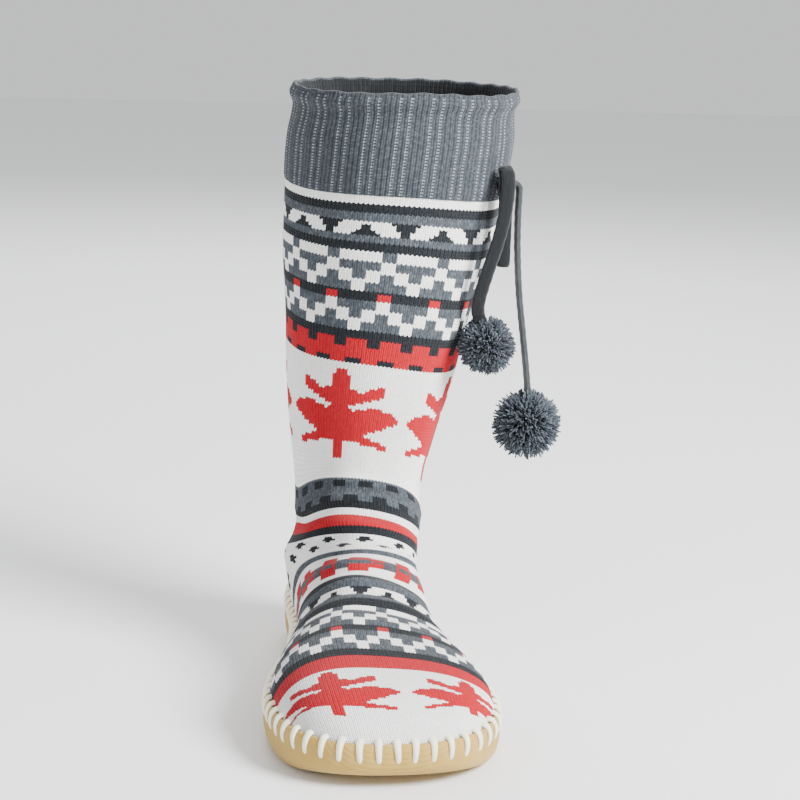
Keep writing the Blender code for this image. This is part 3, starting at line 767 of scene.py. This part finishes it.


# the sole: a soft cup of tan cloth round the lower edge, pulled in a little under every stitch

# cord sets painted shade between the fine cords of the cloth
soleSet = {"gap": 0.3, "wall": 2.0, "floor": 4.6, "pull": 0.55, "puff": 0.35, "dip": 0.9,
           "swellAt": 0.28, "swellSpread": 0.22, "dipFades": 6.0,
           "cordPitch": 2.1, "wander": 0.12, "dark": 0.91, "cord": 0.08, "weave": 0.12,
           "depth": 0.18, "light": rgb(196, 163, 86), "tan": rgb(162, 130, 62)}
soleLip = [(0.35, -7.0), (0.35, -2.0), (0.5, 0.1), (0.9, 0.7), (1.5, 0.8), (2.0, 0.45)]   # out, up
soleSide = [   # share of the way down, out
    (0.0, 0.0), (0.08, 0.42), (0.18, 0.75), (0.35, 1.0), (0.5, 1.05), (0.62, 0.85), (0.75, 0.25),
    (0.86, -0.9), (0.94, -2.4), (0.985, -4.0), (1.0, -5.6)]


def ringStack(levels, across):
    # closed body from a stack of rings, the first and last filled with strips from side to side
    count = len(levels[0])
    points = [point for ring in levels for point in ring]
    faces = []
    for n in range(len(levels) - 1):
        a, b = n * count, (n + 1) * count
        faces += [(a + k, b + k, b + (k + 1) % count, a + (k + 1) % count) for k in range(count)]
    half = count // 2
    for start, flip in ((0, True), ((len(levels) - 1) * count, False)):
        rungs = []
        for k in range(half + 1):
            left, right = start + k, start + (count - k) % count
            rung = [left]
            for step in range(1, across):
                share = step / across
                rung.append(left if left == right else len(points))
                if left != right:
                    points.append(points[left] * (1 - share) + points[right] * share)
            rungs.append(rung + [right])
        for a, b in zip(rungs, rungs[1:]):
            for i in range(across):   # three corners at a pole, four elsewhere
                face = tuple(dict.fromkeys((a[i], a[i + 1], b[i + 1], b[i])))
                faces.append(face if flip else face[::-1])
    return np.array(points), faces


def makeSole(settings):
    count = len(edge)
    place = np.arange(count) / edgeSet["perStitch"] * 2 * math.pi
    pulled = (0.5 + 0.5 * np.cos(place)) ** 2
    floorRing = edge + edgeOut * settings["gap"]
    floorRing[:, 2] = groundHeight(edge[:, 1]) + settings["floor"]
    levels = [floorRing]
    for out, up in soleLip:
        ring = edge + edgeOut * out
        ring[:, 2] += up - settings["dip"] * pulled * (up > -1.0)
        levels.append(ring)
    for share, out in soleSide:
        swell = np.exp(-((share - settings["swellAt"]) / settings["swellSpread"]) ** 2)
        under = swell * (settings["puff"] * (1.0 - pulled) - settings["pull"] * pulled)
        ring = edge + edgeOut * (settings["gap"] + settings["wall"] + out + under)[:, None]
        ring[:, 2] += (groundHeight(edge[:, 1]) - edge[:, 2]) * share
        ring[:, 2] -= settings["dip"] * pulled * max(0.0, 1.0 - share * settings["dipFades"])
        levels.append(ring)
    points, faces = ringStack(levels, 10)
    base = points[(len(levels) - 1) * count:len(levels) * count]
    grain = points[:, 1].copy()   # how far along the cloth a point lies, carried up the sides
    for n in range(len(levels)):
        rows = slice(n * count, (n + 1) * count)
        rise = np.linalg.norm(points[rows] - base, axis=1)
        grain[rows] = base[:, 1] + edgeOut[:, 1] * rise
    sole = outwardFaces(makePiece("soleCup", points, faces, soleFinish(settings)))
    setValues(sole, "grain", grain)
    return sole


def soleFinish(settings):
    cloth = Finish("soleCloth", 0.93, sheen=0.15)
    bend = settings["wander"] * cloth.noise(60.0)
    cord = (cloth.attribute("grain") * (1.0 / settings["cordPitch"]) + bend).arch()
    weave = cloth.noise(1100.0, 3.0)
    colour = cloth.blend(cloth.noise(22.0, 4.0), settings["tan"], settings["light"])
    # painted shade: the colour is darker between the fine cords
    tone = settings["dark"] + settings["cord"] * cord ** 0.7 + settings["weave"] * (weave - 0.5)
    return cloth.finish(cloth.shade(colour, tone), cord ** 0.6 + 0.35 * weave, settings["depth"])


sole = makeSole(soleSet)
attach(sole, body)
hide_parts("sole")
print("sole cup made")


# geometry nodes

class Grower:   # one geometry tree, its named sizes and the piece that it grows on
    def __init__(self, name, inputs):
        self.tree = bpy.data.node_groups.new(name, "GeometryNodeTree")
        face = self.tree.interface
        face.new_socket("Geometry", in_out="INPUT", socket_type="NodeSocketGeometry")
        self.names = {}
        for label, value in inputs.items():
            kind = "NodeSocketInt" if isinstance(value, int) else "NodeSocketFloat"
            socket = face.new_socket(label, in_out="INPUT", socket_type=kind)
            socket.default_value = value
            self.names[label] = socket.identifier
        face.new_socket("Geometry", in_out="OUTPUT", socket_type="NodeSocketGeometry")
        self.start = self.tree.nodes.new("NodeGroupInput")

    def size(self, label):
        return Wire(self.tree, self.start.outputs[label])

    def add(self, kind, settings=None, values=None, out=0):
        return Wire(self.tree, addNode(self.tree, kind, settings, values)[out])

    def join(self, *parts):   # a vector
        return self.add("ShaderNodeCombineXYZ", None, dict(enumerate(parts)))

    def between(self, low, high, seed):   # a random number
        values = {2: low, 3: high, "Seed": seed}
        return self.add("FunctionNodeRandomValue", {"data_type": "FLOAT"}, values, 1)

    def mark(self, geometry, name, value, domain):
        return self.add("GeometryNodeStoreNamedAttribute", {"data_type": "FLOAT", "domain": domain},
                        {"Geometry": geometry, "Name": name, "Value": value})

    def grow(self, piece, geometry, material, values):   # keeps the result as a plain mesh
        real = self.add("GeometryNodeRealizeInstances", None, {"Geometry": geometry})
        done = self.add("GeometryNodeSetMaterial", None, {"Geometry": real, "Material": material})
        addNode(self.tree, "NodeGroupOutput", None, {0: done})
        self.tree.interface_update(bpy.context)
        modifier = piece.modifiers.new("grow", "NODES")
        modifier.node_group = self.tree
        for label, value in values.items():
            modifier[self.names[label]] = value
        graph = bpy.context.evaluated_depsgraph_get()
        mesh = bpy.data.meshes.new_from_object(piece.evaluated_get(graph))
        piece.modifiers.remove(modifier)
        piece.data = mesh
        mesh.shade_smooth()


# whipstitches: one short strand of thick thread over the sole's top edge at each place

stitchSet = {"Rise": 1.5, "Reach": 8.2, "Thread": 0.95, "Swing": 0.10, "Seed": 5}
threadSet = {"inside": -0.9, "outside": 2.2, "overTop": (3.6, 0.0, 2.3),
             "downSide": (4.5, 0.0, -4.8), "thickStart": 1.35, "thinner": -0.62, "flat": 1.5,
             "colour": rgb(251, 244, 222)}


def threadFinish():
    thread = Finish("creamThread", 0.8, sheen=0.2)
    ply = thread.noise(700.0, stretch=(1.0, 1.0, 0.25))
    return thread.finish(thread.shade(threadSet["colour"], 0.88 + 0.16 * ply), ply, 0.35)


def makeStitches(settings):
    step = edgeSet["perStitch"]
    stitches = makePiece("whipstitches", edge[::step], [])
    setValues(stitches, "turn", np.arctan2(edgeOut[::step, 1], edgeOut[::step, 0]))
    tree = Grower("whipstitching", settings)
    strand = tree.add("GeometryNodeCurvePrimitiveBezierSegment", {"mode": "POSITION"}, {
        "Resolution": 9, "Start": tree.join(threadSet["inside"] * mm, 0.0, tree.size("Rise") * mm),
        "Start Handle": [size * mm for size in threadSet["overTop"]],
        "End Handle": [size * mm for size in threadSet["downSide"]],
        "End": tree.join(threadSet["outside"] * mm, 0.0, tree.size("Reach") * -mm)})
    ring = tree.add("GeometryNodeCurvePrimitiveCircle", None, {
        "Resolution": 8, "Radius": tree.size("Thread") * mm})
    along = tree.add("GeometryNodeSplineParameter")
    fuller = along.maths("MULTIPLY_ADD", along, threadSet["thinner"], threadSet["thickStart"])
    tube = tree.add("GeometryNodeCurveToMesh", None, {
        "Curve": strand, "Profile Curve": ring, "Scale": fuller, "Fill Caps": True})
    turn = tree.add("GeometryNodeInputNamedAttribute", {"data_type": "FLOAT"}, {"Name": "turn"})
    swing = tree.between(tree.size("Swing") * -1.0, tree.size("Swing"), tree.size("Seed"))
    placed = tree.add("GeometryNodeInstanceOnPoints", None, {
        "Points": tree.size("Geometry"), "Instance": tube, "Rotation": tree.join(swing, 0.0, turn),
        "Scale": (1.0, threadSet["flat"], 1.0)})
    tree.grow(stitches, placed, threadFinish(), settings)
    return outwardFaces(stitches)


stitches = makeStitches(stitchSet)
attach(stitches, body)
print("whipstitches", len(stitches.data.polygons), "faces")


# the insole: a soft dark pad that lies in the sole

insoleSet = {"fill": 0.25, "thick": 3.0, "colour": rgb(58, 62, 68), "depth": 0.6,
             "dent": 0.25, "dentTurns": (0.31, 0.23)}
padRows = [(0.0, -7.6), (0.9, -5.2), (1.8, -4.4), (2.5, -4.5), (3.0, -5.6)]   # up, out


def makeInsole(settings):
    levels = []
    for up, out in padRows:
        ring = edge[::2] + edgeOut[::2] * out
        ring[:, 2] = groundHeight(ring[:, 1]) + soleSet["floor"] + soleSet["gap"] + up
        levels.append(ring)
    points, faces = ringStack(levels, 16)
    top = points[:, 2] > groundHeight(points[:, 1]) + soleSet["floor"] + settings["thick"] - 0.1
    dents = np.sin(points[top, :2] * settings["dentTurns"])
    points[top, 2] += settings["dent"] * dents[:, 0] * dents[:, 1]
    pile = Finish("insolePile", 0.96, sheen=0.35)
    tuft, tread = pile.noise(520.0, 4.0), pile.noise(35.0)
    colour = pile.shade(settings["colour"], 0.55 + 0.6 * tuft + 0.3 * (tread - 0.5))
    material = pile.finish(colour, tuft, settings["depth"])
    return outwardFaces(makePiece("insolePad", points, faces, material))


insole = makeInsole(insoleSet)
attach(insole, body)
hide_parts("insole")


# ties: flat knitted tapes

tieSet = {"width": 7.0, "thick": 3.2, "step": 1.2, "ridges": 5, "rowTurn": 4.2, "end": 0.8,
          "loopScale": 620.0, "depth": 0.4}
shortRoute = [
    (64.6, -56.7, 262.9), (64.8, -61.5, 261.3), (64.9, -64.5, 256.8),
    (64.4, -65.6, 249.0), (63.1, -65.8, 239.0), (60.4, -64.9, 226.0),
    (56.6, -61.7, 211.0), (54.0, -57.6, 198.0), (53.7, -54.6, 191.0),
    (54.8, -52.7, 186.7), (56.4, -52.3, 182.0),
]
longRoute = [
    (68.0, -55.9, 256.0), (71.6, -55.9, 254.6), (72.2, -55.9, 250.0),
    (72.0, -56.0, 240.0), (72.5, -56.1, 222.0), (74.4, -55.7, 200.0),
    (77.6, -55.0, 178.0), (80.2, -54.3, 160.0), (81.4, -54.0, 149.9),
    (81.5, -54.0, 145.5),
]


def smoothPath(route, step):
    route = np.array(route, float)
    padded = np.vstack([2 * route[0] - route[1], route, 2 * route[-1] - route[-2]])
    fine = []
    for a, b, c, d in zip(padded, padded[1:], padded[2:], padded[3:]):
        for t in np.linspace(0.0, 1.0, 20, endpoint=False):
            fine.append(0.5 * (2 * b + (c - a) * t + (2 * a - 5 * b + 4 * c - d) * t**2
                               + (3 * b - a - 3 * c + d) * t**3))
    fine = np.array(fine + [route[-1]])
    travel = travelAlong(fine)
    count = max(4, round(travel[-1] / step) + 1)
    return pointsAt(np.linspace(0.0, travel[-1], count), travel, fine)


def tape(path, widthAxis, width, thick, knit=0.16, sides=20):
    # rounded flat tube along a path, its surface raised in short knitted ridges
    tangents = unit(np.gradient(path, axis=0))
    wide = unit(widthAxis - tangents * (tangents @ widthAxis)[:, None])
    flat = np.cross(tangents, wide)
    turn = np.arange(sides) / sides * 2 * math.pi
    travel = travelAlong(path)
    ridges = knit * np.cos(tieSet["ridges"] * turn)[None]
    ridges = ridges + 0.5 * knit * np.cos(travel * tieSet["rowTurn"])[:, None]
    straight = (width - thick) / 2
    out = thick / 2 - knit + ridges
    side = np.cos(turn)
    x = np.sign(side) * straight * np.minimum(1.0, np.abs(side) * 2.5) + side * out
    y = np.sin(turn)[None] * out
    points = path[:, None] + wide[:, None] * x[:, :, None] + flat[:, None] * y[:, :, None]
    points = points.reshape(-1, 3)
    faces = []
    for n in range(len(path) - 1):
        faces += ringQuads(n * sides, (n + 1) * sides, sides)
    ends = len(points)
    points = np.vstack([points, path[:1] - tangents[:1] * tieSet["end"],
                        path[-1:] + tangents[-1:] * tieSet["end"]])
    last = (len(path) - 1) * sides
    faces += [(ends, (k + 1) % sides, k) for k in range(sides)]
    faces += [(ends + 1, last + k, last + (k + 1) % sides) for k in range(sides)]
    return points, faces


def tieFinish(name, colour, contrast):
    yarn = Finish(name, 0.86, sheen=0.15)
    loops = yarn.noise(tieSet["loopScale"], stretch=(1.0, 1.0, 0.55))
    tone = 1.0 - contrast / 2 + contrast * loops + 0.25 * (yarn.noise(90.0) - 0.5)
    return yarn.finish(yarn.shade(colour, tone), loops, tieSet["depth"])


def makeTie(name, route, widthAxis, material):
    path = smoothPath(route, tieSet["step"])
    points, faces = tape(path, widthAxis, tieSet["width"], tieSet["thick"])
    return outwardFaces(makePiece(name, points, faces, material)), path


knotSet = {"centre": (64.6, -55.7, 254.0), "wrapTape": (6.6, 3.2), "loopTape": (6.4, 3.0),
           "tipTape": (4.2, 2.6), "loopDrop": 40.0, "loopBend": 2.2, "loopStart": 6, "behind": 1.0,
           "twist": (0.4, 1.6),
           "wraps": ((4.2, 3.4, 0.25), (3.2, 3.2, -0.7)),   # half height, half depth, tilt
           "tip": ((-1.5, -3.0, 3.0), (-1.9, -4.0, 6.0), (-2.6, -4.2, 9.4))}


def makeKnot(settings, material):
    # two wraps of tape round each other, the loop that hangs behind, and the tip of the cord above
    centre, across = np.array(settings["centre"]), (1.0, 0.0, 0.0)
    parts = []
    turn = np.linspace(0.0, 2 * math.pi, 41)[:-1]
    sideways, skew = settings["twist"]
    for rise, depth, tilt in settings["wraps"]:
        ring = np.stack([np.cos(turn) * rise * math.sin(tilt) * sideways, np.cos(turn) * depth,
                         np.sin(turn) * rise], axis=1)
        ring[:, 0] += np.sin(turn) * tilt * skew
        ring = np.vstack([ring, ring[:1]])
        parts.append(tape(ring + centre, across, *settings["wrapTape"], 0.12, 16))
    x, y, z = centre
    bend, behind = settings["loopBend"], settings["behind"]
    high, low = z - settings["loopStart"], z - settings["loopDrop"] + bend
    loop = [(-bend, z)] + [(-bend, h) for h in np.linspace(high, low, 14)]
    loop += [(-bend * math.cos(a), low - bend * math.sin(a))
             for a in np.linspace(0.3, math.pi - 0.3, 7)]
    loop += [(bend, h) for h in np.linspace(low, high, 14)] + [(bend, z)]
    path = np.array([(x + behind, y + behind + u, h) for u, h in loop])
    parts.append(tape(path, across, *settings["loopTape"], 0.12, 16))
    tip = smoothPath(centre + np.array(settings["tip"]), tieSet["step"])
    parts.append(tape(tip, across, *settings["tipTape"], 0.1, 16))
    points, faces = [], []
    for partPoints, partFaces in parts:
        start = sum(len(p) for p in points)
        points.append(partPoints)
        faces += [tuple(i + start for i in face) for face in partFaces]
    return outwardFaces(makePiece("tieKnot", np.vstack(points), faces, material))


darkTape = tieFinish("darkTape", rgb(17, 20, 23), 0.35)
paleTape = tieFinish("paleTape", rgb(60, 64, 66), 0.8)
shortTie, shortPath = makeTie("tieShort", shortRoute, (1.0, 0.0, 0.0), darkTape)
longTie, longPath = makeTie("tieLong", longRoute, (0.0, 1.0, 0.0), paleTape)
knot = makeKnot(knotSet, darkTape)
print("ties made")


# pompoms: cut strands of yarn standing out of a core

# the darkest colour is painted shade at the strands' roots near the core
pompomSet = {"Strands": 1500, "Core": 0.52, "Thick": 0.62, "Tip": 0.36, "Lean": 0.55,
             "Shortest": 0.70, "Longest": 1.12,
             "rootShade": rgb(20, 22, 27), "middle": rgb(50, 54, 64), "pale": rgb(92, 102, 108)}
pompoms = {   # centre, radius, node, seed
    "pompomShort": ((59.5, -51.5, 172.0), 15.0, "pompom_short", 3),
    "pompomLong": ((81.5, -54.0, 132.0), 18.0, "pompom_long", 8),
}


def yarnFinish():
    yarn = Finish("pompomYarn", 0.9, sheen=0.25, sheenTint=(0.75, 0.85, 0.9))
    tip, lot = yarn.attribute("tip"), yarn.attribute("lot")
    # painted shade: strands darker towards the core, lighter towards their tips
    colour = yarn.blend(tip ** 0.8, pompomSet["rootShade"], pompomSet["middle"])
    colour = yarn.blend(lot * lot * tip, colour, pompomSet["pale"])
    twist = yarn.noise(1300.0)
    return yarn.finish(yarn.shade(colour, 0.75 + 0.5 * twist), twist, 0.3)


def makePompom(name, centre, radius, seed, material):
    core = radius * pompomSet["Core"] * mm
    pompom = makePiece(name, [], [], smooth=False)
    work = bmesh.new()
    bmesh.ops.create_icosphere(work, subdivisions=4, radius=core)
    bmesh.ops.translate(work, vec=Vector(centre) * mm, verts=work.verts)
    work.to_mesh(pompom.data)
    work.free()
    inputs = {"Density": pompomSet["Strands"] / (4 * math.pi * core ** 2),
              "Length": radius * (1.0 - pompomSet["Core"]) * mm, "Thick": pompomSet["Thick"] * mm,
              "Tip": pompomSet["Tip"] * mm, "Lean": pompomSet["Lean"],
              "Shortest": pompomSet["Shortest"], "Longest": pompomSet["Longest"], "Seed": seed}
    tree = Grower(name + "Tree", inputs)
    lean, length, seed = tree.size("Lean"), tree.size("Length"), tree.size("Seed")
    spread = tree.add("GeometryNodeDistributePointsOnFaces", {"distribute_method": "RANDOM"}, {
        "Mesh": tree.size("Geometry"), "Density": tree.size("Density"), "Seed": seed})
    cone = tree.add("GeometryNodeMeshCone", {"fill_type": "TRIANGLE_FAN"}, {
        "Vertices": 5, "Side Segments": 2, "Depth": length,
        "Radius Top": tree.size("Tip"), "Radius Bottom": tree.size("Thick")})
    place = tree.add("GeometryNodeInputPosition")
    height = tree.add("ShaderNodeSeparateXYZ", None, {0: place}, 2)
    strand = tree.mark(cone, "tip", height / length, "POINT")
    tilt = tree.join(*(tree.between(lean * -1.0, lean, draw) for draw in (1, 2)))
    turned = tree.add("FunctionNodeRotateRotation", {"rotation_space": "LOCAL"}, {
        0: Wire(tree.tree, spread.socket.node.outputs["Rotation"]), 1: tilt})
    longer = tree.join(1.0, 1.0, tree.between(tree.size("Shortest"), tree.size("Longest"), 3))
    planted = tree.add("GeometryNodeInstanceOnPoints", None, {
        "Points": spread, "Instance": strand, "Rotation": turned, "Scale": longer})
    marked = tree.mark(planted, "lot", tree.between(0.0, 1.0, 9), "INSTANCE")
    joined = tree.add("GeometryNodeJoinGeometry")
    for part in (marked, tree.size("Geometry")):
        tree.tree.links.new(part.socket, joined.socket.node.inputs[0])
    tree.grow(pompom, joined, material, inputs)
    return pompom


pompomYarn = yarnFinish()
for name, (centre, radius, node, seed) in pompoms.items():
    pompom = makePompom(name, centre, radius, seed, pompomYarn)
    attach(pompom, body)
    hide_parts(node)
    print(name, len(pompom.data.polygons), "faces")

for tie, node in ((shortTie, "tie_short"), (longTie, "tie_long"), (knot, "tie_knot")):
    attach(tie, body)
    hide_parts(node)


# floor

floorSet = {"half": 4000, "colour": (0.86, 0.865, 0.87), "tone": 0.985, "grain": 0.02}


def makeFloor(settings):
    half = settings["half"]
    corners = [(-half, -half, 0), (half, -half, 0), (half, half, 0), (-half, half, 0)]
    plain = Finish("paleFloor", 0.85)
    grain = plain.noise(3.0)
    tone = settings["tone"] + settings["grain"] * grain
    material = plain.finish(plain.shade(settings["colour"], tone))
    return makePiece("floor", corners, [(0, 1, 2, 3)], material, smooth=False)


makeFloor(floorSet)
